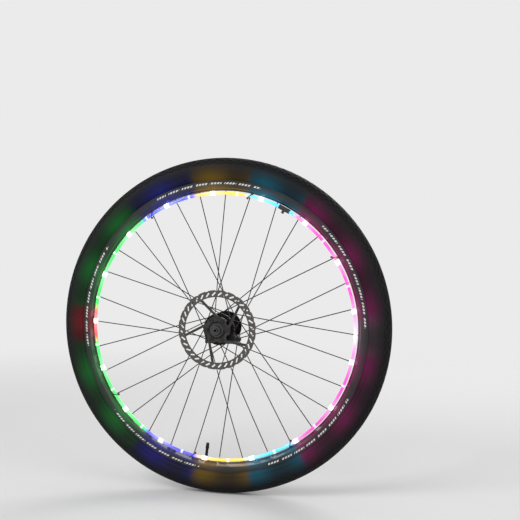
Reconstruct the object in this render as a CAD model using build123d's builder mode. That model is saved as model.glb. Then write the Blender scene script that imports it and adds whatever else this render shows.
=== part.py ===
from build123d import *
import os
from math import atan2, cos, degrees, radians, sin

# A bicycle front wheel with a string of lights tied round the inside of its rim.
# Origin at the middle of the hub, +Y along the axle away from the brake disc, +Z up, in millimetres.
# Angles in the wheel's plane run from +X towards +Z, as seen from the disc side.

# Rim, a welded double-wall section with no holes in its outer wall but the valve's
bead_seat_radius = 292.0
rim_half_width = 14.0
rim_flange_height = 6.0
rim_flange_thickness = 1.4
rim_wall = 1.5
rim_side_depth = 6.0
well_radius = 287.6
well_half_width = 5.6
shelf_start = 8.8
spoke_bed_radius = 277.8
spoke_bed_half_width = 8.0
nipple_hole_radius = 2.2

# Tyre
tyre_outer_radius = 343.0
tyre_section_radius = 25.0
casing_thickness = 2.4
tread_extra = 1.8
bead_thickness = 2.8
bead_height = 7.0
bead_gap = 0.2

# Hub shell
hub_half_length = 44.3
bearing_radius = 13.0
bearing_width = 8.0
bearing_inner_face = 36.0
press_gap = 0.02
shell_bore_radius = 11.3
barrel_radius = 13.5
flange_radius = 32.5
flange_thickness = 3.2
disc_flange_place = -23.0
far_flange_place = 35.0
flange_root_radius = 17.5
spoke_circle_radius = 29.0
flange_hole_radius = 1.5
disc_mount_face = -39.5
disc_mount_thickness = 6.5
disc_mount_radius = 27.0
disc_spigot_radius = 17.5

# Axle and its end caps
axle_radius = 5.0
axle_shoulder_radius = 6.5
axle_bore_radius = 2.6
cap_face = 50.0
cap_foot_radius = 7.0
cap_flange_radius = 9.5
cap_flange_thickness = 3.5
cap_stub_radius = 4.5
cap_stub_length = 4.5
cap_socket_depth = 3.0

# Bearings, sealed cartridges with the running clearance between their two races
race_split_radius = 9.0
running_gap = 0.05
seal_depth = 0.3
seal_outer_radius = 11.8

# Brake disc and its bolts
rotor_radius = 80.0
rotor_thickness = 1.8
rotor_ring_width = 14.0
rotor_bore_gap = 0.1
rotor_carrier_radius = 27.0
rotor_scallop_radius = 6.0
rotor_scallop_gap = 2.5
rotor_wave_count = 24
rotor_wave_radius = 7.0
rotor_wave_depth = 1.3
rotor_slot_count = 36
rotor_slot_length = 9.6
rotor_slot_width = 3.0
rotor_slot_slant = -50.0
rotor_arm_count = 5
rotor_arm_width = 5.0
rotor_arm_start = 2.0
rotor_arm_sweep = 45.0
bolt_circle_radius = 22.0
bolt_count = 6
bolt_radius = 2.5
bolt_hole_gap = 0.15
bolt_head_radius = 4.1
bolt_head_height = 2.4
bolt_length = 8.5
bolt_drive_radius = 2.0
bolt_drive_depth = 1.5

# Spokes and nipples, laced three-cross
spoke_count = 32
spoke_radius = 1.0
elbow_radius = 2.4
spoke_head_radius = 2.1
spoke_head_height = 1.2
lacing_turn = 9.7
crossings = 3
weave_gap = 0.1
spoke_row_offset = 3.0
nipple_radius = 1.95
nipple_length = 9.5
nipple_bore_gap = 0.06
nipple_head_radius = 3.0
nipple_head_height = 2.4
nipple_seat_gap = 0.5

# Tubeless valve
valve_slot = 22
valve_stem_radius = 3.0
valve_stem_length = 38.0
valve_hole_gap = 0.1
valve_foot_radius = 5.0
valve_foot_height = 3.0
valve_ring_radius = 5.6
valve_ring_height = 3.0
valve_cap_radius = 3.8
valve_cap_length = 12.0
valve_cap_overlap = 5.0

# Light string: a clear tube with two wires and small light boards in it
string_radius = 272.6
string_place = -10.4
string_tube_radius = 3.0
string_tube_wall = 0.9
string_wire_width = 1.0
string_wire_spacing = 1.9
light_count = 17
first_light_angle = 8.65
board_length = 9.0
board_width = 2.6
board_thickness = 0.5
board_gap = 0.05
chip_size = 1.7
chip_height = 0.35
bead_radius = 4.2
bead_length = 12.0
bead_chamfer = 1.2
bead_bore_gap = 0.1
collar_radius = 3.8
collar_length = 5.0
junction_slot = 2
junction_radius = 4.4
junction_length = 24.0
junction_socket = 7.0
junction_inlet_radius = 2.8
junction_inlet_length = 5.0

# Ties that hold the string to the spokes
tied_spokes = (1, 3, 5, 9, 11, 13)
tie_slant = -40.0
tie_thickness = 0.9
tie_width = 1.8
tie_half_span = 5.1
tie_clearance = 0.3
tie_head_size = 3.2
tie_head_place = -8.9

# Battery case under the hub
case_length = 66.0
case_start = -14.0
case_width = 40.0
case_top = -14.5
case_height = 16.0
case_wall = 1.8
case_corner = 4.0
case_shift = 0.0
lid_thickness = 1.8
lid_lip_height = 2.0
lid_lip_wall = 1.2
lid_gap = 0.15
gasket_width = 1.4
gasket_thickness = 0.6
screw_inset = 4.6
screw_radius = 1.1
screw_head_radius = 2.0
screw_head_height = 0.9
screw_length = 7.0
boss_radius = 2.4
cell_count = 3
cell_radius = 5.25
cell_length = 43.6
cell_tip_radius = 1.9
cell_tip_length = 1.0
cell_gap = 0.4
contact_thickness = 0.4
contact_height = 8.0
contact_start = -25.8
spring_reach = 2.2
board_wall_gap = 0.4
control_board_thickness = 1.2
control_board_place = 23.0
switch_size = 6.0
switch_height = 3.2
button_radius = 3.6
button_gap = 0.2
button_rise = 1.8
button_travel = 1.2
button_rim_radius = 4.4
button_rim_thickness = 0.8
button_place = 13.0
gland_place = -4.0
gland_height = -21.8
gland_thread_radius = 3.2
gland_hex_radius = 4.6
gland_hex_length = 3.0
gland_nose_radius = 3.2
gland_nose_length = 5.0
lead_hole_radius = 1.42

# Strap and saddle between the case and the hub barrel
strap_place = 6.0
strap_width = 20.0
strap_thickness = 1.5
strap_gap = 0.3
strap_bar_radius = 1.0
strap_flap_top = 4.0
lug_thickness = 2.0
saddle_half_length = 10.5
saddle_gap = 0.3

os.makedirs("parts", exist_ok=True)

# Sizes worked out from the ones above
half_count = spoke_count // 2
spoke_pitch = 360 / half_count
light_pitch = 360 / light_count
hub_turn = crossings * spoke_pitch
shelf_radius = bead_seat_radius - bead_gap
flange_top_radius = bead_seat_radius + rim_flange_height
bed_middle_radius = spoke_bed_radius + rim_wall / 2
tyre_centre_radius = tyre_outer_radius - tyre_section_radius
rotor_back = disc_mount_face
rotor_front = disc_mount_face - rotor_thickness
valve_angle = lacing_turn + spoke_pitch / 4 + valve_slot * spoke_pitch / 2
junction_angle = first_light_angle + (junction_slot + 0.5) * light_pitch
case_end = case_start + case_width
case_bottom = case_top - case_height
case_middle = (case_start + case_end) / 2


def wheel_point(radius, angle, place):
    """A point at a radius, an angle in the wheel's plane and a place along the axle."""
    return Vector(radius * cos(radians(angle)), place, radius * sin(radians(angle)))


def section_plane(angle):
    """The plane through the axle at an angle: its x runs outwards and its y along the axle."""
    out = wheel_point(1, angle, 0)
    return Plane(origin=(0, 0, 0), x_dir=out, z_dir=(-out.Z, 0, out.X))


def spread(piece, angles):
    """Copies of a piece turned about the axle."""
    return [piece.rotate(Axis.Y, -angle) for angle in angles]


def box_between(low, high):
    """Adds a box to the current part between two opposite corners."""
    with Locations(tuple((a + b) / 2 for a, b in zip(low, high))):
        Box(*[b - a for a, b in zip(low, high)])


# Rim: one closed section turned about the axle, with its hollow, nipple holes and valve hole.
rim_side = [
    (flange_top_radius, rim_half_width),
    (flange_top_radius, rim_half_width - rim_flange_thickness),
    (shelf_radius, rim_half_width - rim_flange_thickness),
    (shelf_radius, shelf_start),
    (well_radius, well_half_width),
]
rim_lower_side = [
    (shelf_radius - rim_side_depth, rim_half_width),
    (spoke_bed_radius, spoke_bed_half_width),
]
hollow_side = [
    (spoke_bed_radius + rim_wall, spoke_bed_half_width - rim_wall / 3),
    (shelf_radius - 2 * rim_wall, rim_half_width - rim_wall),
    (well_radius - rim_wall, well_half_width + rim_wall / 3),
]


def both_sides(side):
    """A list of points on one side of the middle, closed by its mirror image."""
    return side + [(radius, -place) for radius, place in reversed(side)]


with BuildPart() as nipple_holes:
    for side in (-1, 1):
        turn = lacing_turn + (0 if side < 0 else spoke_pitch / 2)
        for index in range(half_count):
            out = wheel_point(1, turn + index * spoke_pitch, 0)
            start = out * (spoke_bed_radius - rim_wall) + Vector(0, side * spoke_row_offset, 0)
            with BuildSketch(Plane(origin=start, z_dir=out)):
                RegularPolygon(nipple_hole_radius, 6, major_radius=False)
            extrude(amount=rim_wall * 3)

with BuildPart() as rim:
    with BuildSketch(Plane.XY):
        with BuildLine():
            Polyline(both_sides(rim_lower_side[::-1] + rim_side), close=True)
        make_face()
        with BuildLine():
            Polyline(both_sides(hollow_side), close=True)
        make_face(mode=Mode.SUBTRACT)
    revolve(axis=Axis.Y)
    add(nipple_holes.part, mode=Mode.SUBTRACT)
    with BuildSketch(Plane(origin=(0, 0, 0), z_dir=wheel_point(1, valve_angle, 0))):
        Circle(valve_stem_radius + valve_hole_gap)
    extrude(amount=shelf_radius, mode=Mode.SUBTRACT)
rim.part.label = "rim"

# Tyre: casing and beads in one section, thicker under the tread, open to the rim.
bead_out = rim_half_width - rim_flange_thickness - bead_gap
bead_in = bead_out - bead_thickness
bead_foot = shelf_radius + bead_gap
bead_top = bead_foot + bead_height
neck_angle = 48.0
casing_inner_radius = tyre_section_radius - casing_thickness
casing_inner_centre = tyre_centre_radius - tread_extra


def casing_arc(radius, centre, start, steps, flats_touch=False):
    """Half of a casing arc in straight steps, from the neck up, whose flats or corners touch the arc."""
    step = (180 - start) / (steps - 0.5)
    reach = radius / cos(radians(step / 2)) if flats_touch else radius
    angles = [radians(start + step * index) for index in range(steps)]
    return [(centre - reach * cos(angle), reach * sin(angle)) for angle in angles]


with BuildPart() as tyre:
    with BuildSketch(Plane.XY):
        with BuildLine():
            outside = casing_arc(tyre_section_radius, tyre_centre_radius, neck_angle, 5, flats_touch=True)
            inside = casing_arc(casing_inner_radius, casing_inner_centre, neck_angle + 8, 3)
            foot = [(bead_top, bead_out), (bead_foot, bead_out), (bead_foot, bead_in), (bead_top + 1.5, bead_in)]
            Polyline(both_sides(outside[::-1] + foot + inside), close=True)
        make_face()
    revolve(axis=Axis.Y)
tyre.part.label = "tyre"

# Hub shell: barrel, two spoke flanges, bearing seats and the six-bolt disc mount.
with BuildPart() as hub_shell:
    disc_flange_out = disc_flange_place - flange_thickness / 2
    disc_flange_in = disc_flange_place + flange_thickness / 2
    far_flange_in = far_flange_place - flange_thickness / 2
    far_flange_out = far_flange_place + flange_thickness / 2
    seat_radius = bearing_radius + press_gap
    with BuildSketch(Plane.XY):
        with BuildLine():
            Polyline(
                (shell_bore_radius, -bearing_inner_face),
                (seat_radius, -bearing_inner_face),
                (seat_radius, -hub_half_length),
                (disc_spigot_radius - 1, -hub_half_length),
                (disc_spigot_radius, 1 - hub_half_length),
                (disc_spigot_radius, disc_mount_face),
                (disc_mount_radius, disc_mount_face),
                (disc_mount_radius, disc_mount_face + disc_mount_thickness),
                (flange_root_radius, disc_mount_face + disc_mount_thickness + 3),
                (flange_root_radius, disc_flange_out - 1),
                (flange_root_radius + 2, disc_flange_out),
                (flange_radius, disc_flange_out),
                (flange_radius, disc_flange_in),
                (flange_root_radius, disc_flange_in),
                (barrel_radius, disc_flange_in + 5.5),
                (barrel_radius, far_flange_in - 5.5),
                (flange_root_radius, far_flange_in),
                (flange_radius, far_flange_in),
                (flange_radius, far_flange_out),
                (flange_root_radius + 2, far_flange_out),
                (flange_root_radius - 1, far_flange_out + 2),
                (flange_root_radius - 1, hub_half_length),
                (seat_radius, hub_half_length),
                (seat_radius, bearing_inner_face),
                (shell_bore_radius, bearing_inner_face),
                close=True,
            )
        make_face()
    revolve(axis=Axis.Y)
    for flange_place, turn in ((disc_flange_out, 0), (far_flange_in, spoke_pitch / 2)):
        with BuildSketch(Plane.XZ.offset(-flange_place)):
            with PolarLocations(spoke_circle_radius, half_count, lacing_turn + turn):
                RegularPolygon(flange_hole_radius, 6, major_radius=False)
        extrude(amount=-flange_thickness, mode=Mode.SUBTRACT)
    # Scallops between the bolt holes lighten the disc mount.
    with BuildSketch(Plane.XZ.offset(-disc_mount_face)):
        with PolarLocations(disc_mount_radius + 2.5, bolt_count, 180 / bolt_count):
            Circle(8)
    extrude(amount=-disc_mount_thickness - 3, mode=Mode.SUBTRACT)
    with BuildSketch(Plane.XZ.offset(-disc_mount_face)):
        with PolarLocations(bolt_circle_radius, bolt_count):
            Circle(bolt_radius + press_gap)
    extrude(amount=-disc_mount_thickness - 2.5, mode=Mode.SUBTRACT)
hub_shell.part.label = "hub_shell"

# Axle with the shoulders that the inner races stand against.
axle_half_length = cap_face - cap_flange_thickness + cap_socket_depth / 2
with BuildPart() as axle:
    with BuildSketch(Plane.XY):
        with BuildLine():
            Polyline(
                (axle_bore_radius, -axle_half_length),
                (axle_radius, -axle_half_length),
                (axle_radius, -bearing_inner_face),
                (axle_shoulder_radius, -bearing_inner_face),
                (axle_shoulder_radius, bearing_inner_face),
                (axle_radius, bearing_inner_face),
                (axle_radius, axle_half_length),
                (axle_bore_radius, axle_half_length),
                close=True,
            )
        make_face()
    revolve(axis=Axis.Y)
axle.part.label = "axle"


def end_cap(side):
    """A push-on cap: foot on the inner race, flange against the fork, stub in the fork's slot."""
    foot = bearing_inner_face + bearing_width + press_gap
    socket_end = axle_half_length + press_gap
    profile = [
        (axle_radius + press_gap, foot),
        (cap_foot_radius, foot),
        (cap_foot_radius, cap_face - cap_flange_thickness),
        (cap_flange_radius, cap_face - cap_flange_thickness),
        (cap_flange_radius, cap_face - 0.5),
        (cap_flange_radius - 0.5, cap_face),
        (cap_stub_radius, cap_face),
        (cap_stub_radius, cap_face + cap_stub_length),
        (axle_bore_radius, cap_face + cap_stub_length),
        (axle_bore_radius, socket_end),
        (axle_radius + press_gap, socket_end),
    ]
    with BuildPart() as cap:
        with BuildSketch(Plane.XY):
            with BuildLine():
                Polyline([(radius, side * place) for radius, place in profile], close=True)
            make_face()
        revolve(axis=Axis.Y)
    return cap.part


disc_end_cap = end_cap(-1)
disc_end_cap.label = "disc_end_cap"
far_end_cap = end_cap(1)
far_end_cap.label = "far_end_cap"

# Bearings: inner races sit on the axle, and outer races in the shell with their seals, set a little deeper.
bearing_middle = bearing_inner_face + bearing_width / 2
race_half_width = bearing_width / 2 - press_gap

with BuildPart() as bearing_inner_races:
    with BuildSketch(Plane.XY):
        with Locations(*[(axle_radius + press_gap, place) for place in (-bearing_middle, bearing_middle)]):
            Rectangle(
                race_split_radius - axle_radius - press_gap,
                2 * race_half_width,
                align=(Align.MIN, Align.CENTER),
            )
    revolve(axis=Axis.Y)
bearing_inner_races.part.label = "bearing_inner_races"

with BuildPart() as bearing_outer_races:
    with BuildSketch(Plane.XY):
        with Locations(*[(bearing_radius, place) for place in (-bearing_middle, bearing_middle)]):
            Rectangle(
                bearing_radius - race_split_radius - running_gap,
                2 * race_half_width,
                align=(Align.MAX, Align.CENTER),
            )
            Rectangle(
                bearing_radius - seal_outer_radius,
                2 * race_half_width,
                align=(Align.MAX, Align.CENTER),
            )
    revolve(axis=Axis.Y)
    for place in (-bearing_middle, bearing_middle):
        for end in (-1, 1):
            with BuildSketch(Plane.XZ.offset(-(place + end * race_half_width))):
                Circle(seal_outer_radius)
                Circle(race_split_radius, mode=Mode.SUBTRACT)
            extrude(amount=end * seal_depth, mode=Mode.SUBTRACT)
bearing_outer_races.part.label = "bearing_outer_races"

# Brake disc: a ring with a wavy edge and slanted slots, slanted arms and a bolted centre.
rotor_ring_inner = rotor_radius - rotor_ring_width
arm_foot = Vector(bolt_circle_radius, 0).rotate(Axis.Z, rotor_arm_start)
arm_head = Vector(rotor_ring_inner + rotor_arm_width / 2, 0).rotate(Axis.Z, rotor_arm_start + rotor_arm_sweep)
arm_run = arm_head - arm_foot
slot_circle_radius = (rotor_radius - rotor_wave_depth + rotor_ring_inner) / 2
with BuildPart() as brake_rotor:
    with BuildSketch(Plane.XZ.offset(-rotor_back)):
        Circle(rotor_radius)
        with PolarLocations(rotor_radius + rotor_wave_radius - rotor_wave_depth, rotor_wave_count):
            Circle(rotor_wave_radius, mode=Mode.SUBTRACT)
        with PolarLocations(slot_circle_radius, rotor_slot_count, 180 / rotor_slot_count):
            Rectangle(rotor_slot_length, rotor_slot_width, rotation=rotor_slot_slant, mode=Mode.SUBTRACT)
        Circle(rotor_ring_inner, mode=Mode.SUBTRACT)
        Circle(rotor_carrier_radius)
        with PolarLocations(rotor_carrier_radius + rotor_scallop_gap, bolt_count, 180 / bolt_count):
            Circle(rotor_scallop_radius, mode=Mode.SUBTRACT)
        with PolarLocations(0, rotor_arm_count):
            with Locations((arm_foot + arm_head) * 0.5):
                Rectangle(arm_run.length, rotor_arm_width, rotation=degrees(atan2(arm_run.Y, arm_run.X)))
        Circle(disc_spigot_radius + rotor_bore_gap, mode=Mode.SUBTRACT)
        with PolarLocations(bolt_circle_radius, bolt_count):
            Circle(bolt_radius + bolt_hole_gap, mode=Mode.SUBTRACT)
    extrude(amount=rotor_thickness)
brake_rotor.part.label = "brake_rotor"

with BuildPart() as rotor_bolts:
    with BuildSketch(Plane.XZ.offset(-rotor_front)):
        with PolarLocations(bolt_circle_radius, bolt_count):
            Circle(bolt_head_radius)
    extrude(amount=bolt_head_height)
    with BuildSketch(Plane.XZ.offset(-rotor_front)):
        with PolarLocations(bolt_circle_radius, bolt_count):
            Circle(bolt_radius)
    extrude(amount=-bolt_length)
    with BuildSketch(Plane.XZ.offset(-rotor_front + bolt_head_height)):
        with PolarLocations(bolt_circle_radius, bolt_count):
            RegularPolygon(bolt_drive_radius, 6)
    extrude(amount=-bolt_drive_depth, mode=Mode.SUBTRACT)
rotor_bolts.part.label = "rotor_bolts"

# Spokes: each wire has a head, an elbow in its flange hole, and a weave at its last crossing, where
# the wire that left the flange's outer face dips behind the one that left the inner face.
# The wire is drawn six-sided, because there are many of them and it is thin.
first_crossing_turn = spoke_pitch / 2
rim_reach = bed_middle_radius * sin(radians(first_crossing_turn))
hub_reach = spoke_circle_radius * sin(radians(hub_turn - first_crossing_turn))
weave_share = hub_reach / (rim_reach + hub_reach)


def spoke_corners(side, outer):
    """Head end, elbow corner, weave point and rim anchor of a spoke whose rim end is at angle 0."""
    flange_place = disc_flange_place if side < 0 else far_flange_place
    anchor = wheel_point(bed_middle_radius, 0, side * spoke_row_offset)
    corners = []
    for leaves_outer in (True, False):
        out = side if leaves_outer else -side
        turn = hub_turn if leaves_outer else -hub_turn
        head = wheel_point(spoke_circle_radius, turn, flange_place - out * (flange_thickness / 2 + spoke_head_height))
        elbow = wheel_point(spoke_circle_radius, turn, flange_place + out * (flange_thickness / 2 + elbow_radius))
        corners.append((head, elbow, elbow + (anchor - elbow) * weave_share))
    middle_place = (corners[0][2].Y + corners[1][2].Y) / 2
    head, elbow, weave = corners[0 if outer else 1]
    step = side * (spoke_radius + weave_gap / 2)
    weave.Y = middle_place - step if outer else middle_place + step
    return head, elbow, weave, anchor


def spoke_and_nipple(side, outer):
    """One spoke and its nipple, with the rim end at angle 0."""
    head, elbow, weave, anchor = spoke_corners(side, outer)
    out = (elbow - head).normalized()
    leave = (weave - elbow).normalized()
    along = (anchor - weave).normalized()
    tip = anchor + along * (rim_wall / 2 + nipple_seat_gap + nipple_head_height)
    with BuildPart() as spoke:
        with BuildLine() as route:
            Polyline(head, elbow - out * elbow_radius, elbow + leave * elbow_radius, weave, tip)
        with BuildSketch(Plane(origin=head, z_dir=out)):
            RegularPolygon(spoke_radius, 6)
        sweep(path=route.wire(), transition=Transition.RIGHT)
        with BuildSketch(Plane(origin=head, z_dir=out)):
            RegularPolygon(spoke_head_radius, 6)
        extrude(amount=spoke_head_height)
    seat = Plane(origin=anchor, z_dir=along).offset(rim_wall / 2 + nipple_seat_gap)
    with BuildPart() as nipple:
        with BuildSketch(seat.offset(-nipple_length)):
            RegularPolygon(nipple_radius, 6)
        extrude(amount=nipple_length)
        with BuildSketch(seat):
            RegularPolygon(nipple_head_radius, 6)
        extrude(amount=nipple_head_height)
        with BuildSketch(seat.offset(-nipple_length)):
            RegularPolygon(spoke_radius + nipple_bore_gap, 6, major_radius=False)
        extrude(amount=nipple_length + nipple_head_height, mode=Mode.SUBTRACT)
    return spoke.part, nipple.part


spoke_sets = {-1: [], 1: []}
nipple_set = []
for side in (-1, 1):
    side_turn = lacing_turn + (0 if side < 0 else spoke_pitch / 2)
    for outer in (False, True):
        angles = [side_turn + (2 * index + outer) * spoke_pitch for index in range(half_count // 2)]
        spoke, nipple = spoke_and_nipple(side, outer)
        spoke_sets[side] += spread(spoke, angles)
        nipple_set += spread(nipple, angles)

with BuildPart() as spokes_disc_side:
    add(spoke_sets[-1])
spokes_disc_side.part.label = "spokes_disc_side"

with BuildPart() as spokes_far_side:
    add(spoke_sets[1])
spokes_far_side.part.label = "spokes_far_side"

with BuildPart() as spoke_nipples:
    add(nipple_set)
spoke_nipples.part.label = "spoke_nipples"

# Tubeless valve: its foot stands in the rim well and its ring draws it up from inside.
valve_out = wheel_point(1, valve_angle, 0)


def valve_plane(radius):
    """The plane across the valve at a distance from the axle, facing outwards."""
    return Plane(origin=valve_out * radius, z_dir=valve_out)


with BuildPart() as valve_stem:
    with BuildSketch(valve_plane(well_radius)):
        Circle(valve_foot_radius)
    extrude(amount=valve_foot_height, taper=15)
    with BuildSketch(valve_plane(well_radius)):
        Circle(valve_stem_radius)
    extrude(amount=-valve_stem_length)
valve_stem.part.label = "valve_stem"

with BuildPart() as valve_lock_ring:
    with BuildSketch(valve_plane(spoke_bed_radius - valve_hole_gap)):
        Circle(valve_ring_radius)
        Circle(valve_stem_radius + press_gap, mode=Mode.SUBTRACT)
    extrude(amount=-valve_ring_height)
valve_lock_ring.part.label = "valve_lock_ring"

with BuildPart() as valve_cap:
    cap_mouth = well_radius - valve_stem_length + valve_cap_overlap
    with BuildSketch(valve_plane(cap_mouth)):
        Circle(valve_cap_radius)
    extrude(amount=-valve_cap_length, taper=3)
    with BuildSketch(valve_plane(cap_mouth)):
        Circle(valve_stem_radius + press_gap)
    extrude(amount=-valve_cap_overlap - press_gap, mode=Mode.SUBTRACT)
valve_cap.part.label = "valve_cap"

# Light string: the tube starts and ends in the junction, and the wires stop just inside it.
light_angles = [first_light_angle + index * light_pitch for index in range(light_count)]
arc_per_mm = degrees(1 / string_radius)
tube_start_angle = junction_angle + (junction_length / 2 - junction_socket) * arc_per_mm
tube_arc = 360 - 2 * (tube_start_angle - junction_angle)
tube_bore = string_tube_radius - string_tube_wall

with BuildPart() as string_tube:
    with BuildSketch(section_plane(tube_start_angle)):
        with Locations((string_radius, string_place)):
            RegularPolygon(string_tube_radius, 10)
            RegularPolygon(tube_bore, 6, mode=Mode.SUBTRACT)
    revolve(axis=Axis.Y, revolution_arc=-tube_arc)
string_tube.part.label = "string_tube"

with BuildPart() as string_wires:
    with BuildSketch(section_plane(tube_start_angle)):
        with Locations(
            (string_radius - string_wire_spacing / 2, string_place),
            (string_radius + string_wire_spacing / 2, string_place),
        ):
            Rectangle(string_wire_width, string_wire_width)
    revolve(axis=Axis.Y, revolution_arc=-tube_arc)
string_wires.part.label = "string_wires"

# The lights, beads and collars are each made once, at angle 0, and copied round the wheel.
board_back = string_place - string_wire_width / 2 - board_gap
wheel_start = section_plane(0)
with BuildPart() as one_board:
    with BuildSketch(wheel_start.offset(-board_length / 2)):
        with Locations((string_radius, board_back)):
            Rectangle(board_width, board_thickness, align=(Align.CENTER, Align.MAX))
    extrude(amount=board_length)

with BuildPart() as one_chip:
    with BuildSketch(wheel_start.offset(-chip_size / 2)):
        with Locations((string_radius, board_back - board_thickness)):
            Rectangle(chip_size, chip_height, align=(Align.CENTER, Align.MAX))
    extrude(amount=chip_size)

with BuildPart() as one_bead:
    shoulder = bead_length / 2 - bead_chamfer
    bead_steps = (
        (-bead_length / 2, bead_radius - bead_chamfer / 2),
        (-shoulder, bead_radius),
        (shoulder, bead_radius),
        (bead_length / 2, bead_radius - bead_chamfer / 2),
    )
    for place, radius in bead_steps:
        with BuildSketch(wheel_start.offset(place)):
            with Locations((string_radius, string_place)):
                RegularPolygon(radius, 8)
    loft(ruled=True)
    with BuildSketch(wheel_start.offset(-bead_length)):
        with Locations((string_radius, string_place)):
            RegularPolygon(string_tube_radius + bead_bore_gap, 8, major_radius=False)
    extrude(amount=2 * bead_length, mode=Mode.SUBTRACT)

with BuildPart() as one_collar:
    with BuildSketch(wheel_start.offset(-collar_length / 2)):
        with Locations((string_radius, string_place)):
            RegularPolygon(collar_radius, 8)
            RegularPolygon(string_tube_radius + bead_bore_gap / 2, 8, major_radius=False, mode=Mode.SUBTRACT)
    extrude(amount=collar_length)

with BuildPart() as light_boards:
    add(spread(one_board.part, light_angles))
light_boards.part.label = "light_boards"

with BuildPart() as light_chips:
    add(spread(one_chip.part, light_angles))
light_chips.part.label = "light_chips"

with BuildPart() as light_beads:
    add(spread(one_bead.part, light_angles))
light_beads.part.label = "light_beads"

collar_angles = [angle + light_pitch / 2 for index, angle in enumerate(light_angles) if index != junction_slot]
with BuildPart() as string_collars:
    add(spread(one_collar.part, collar_angles))
string_collars.part.label = "string_collars"

# Junction: a moulded sleeve that takes both tube ends, with the inlet for the supply lead on its hub side.
junction_plane = section_plane(junction_angle)
junction_out = wheel_point(1, junction_angle, 0)
junction_floor = Vector(0, string_place, 0) + junction_out * string_radius
with BuildPart() as string_junction:
    with BuildSketch(junction_plane.offset(-junction_length / 2)):
        with Locations((string_radius, string_place)):
            Circle(junction_radius)
    extrude(amount=junction_length)
    with BuildSketch(Plane(origin=junction_floor, z_dir=-junction_out)):
        Circle(junction_inlet_radius)
    extrude(amount=junction_radius + junction_inlet_length)
    with BuildSketch(Plane(origin=junction_floor, z_dir=-junction_out).offset(junction_radius)):
        Circle(lead_hole_radius)
    extrude(amount=junction_inlet_length, mode=Mode.SUBTRACT)
    for end in (-1, 1):
        socket_start = junction_angle + end * (junction_length / 2 - junction_socket - 0.3) * arc_per_mm
        with BuildSketch(section_plane(socket_start)):
            with Locations((string_radius, string_place)):
                Circle(string_tube_radius + bead_bore_gap)
        revolve(axis=Axis.Y, revolution_arc=-end * (junction_socket + 2) * arc_per_mm, mode=Mode.SUBTRACT)
string_junction.part.label = "string_junction"

# Ties: each loop crosses the string and a nipple on the slant, and closes in a small head.
weave_disc_side = spoke_corners(-1, True)[2]
nipple_lean = (weave_disc_side.Y + spoke_row_offset) / (bed_middle_radius - weave_disc_side.X)
nipple_place = -spoke_row_offset + nipple_lean * (bed_middle_radius - string_radius)
tie_front = string_place - string_tube_radius - tie_clearance
tie_back = nipple_place + nipple_radius + tie_clearance
tie_middle = (tie_front + tie_back) / 2
tie_span = tie_back - tie_front


def tie_at(angle):
    """A tie round the string and the nipple at an angle."""
    out = wheel_point(1, angle, 0)
    along = Vector(-out.Z, 0, out.X)
    slant = out * cos(radians(tie_slant)) + along * sin(radians(tie_slant))
    centre = out * string_radius + Vector(0, tie_middle, 0)
    plane = Plane(origin=centre, x_dir=slant, z_dir=slant.cross(Vector(0, 1, 0)))
    with BuildPart() as tie:
        with BuildSketch(plane.offset(-tie_width / 2)) as loop:
            Rectangle(2 * (tie_half_span + tie_thickness), tie_span + 2 * tie_thickness)
            chamfer(loop.vertices(), 1.3 * tie_thickness)
            Rectangle(2 * tie_half_span, tie_span, mode=Mode.SUBTRACT)
        extrude(amount=tie_width)
        with BuildSketch(plane.offset(-tie_width)):
            with Locations((-tie_half_span - tie_thickness / 2, tie_head_place - tie_middle)):
                Rectangle(tie_head_size, tie_head_size, align=(Align.MAX, Align.CENTER))
        extrude(amount=2 * tie_width)
    return tie.part


with BuildPart() as spoke_ties:
    add([tie_at(lacing_turn + index * spoke_pitch) for index in tied_spokes])
spoke_ties.part.label = "spoke_ties"

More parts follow.
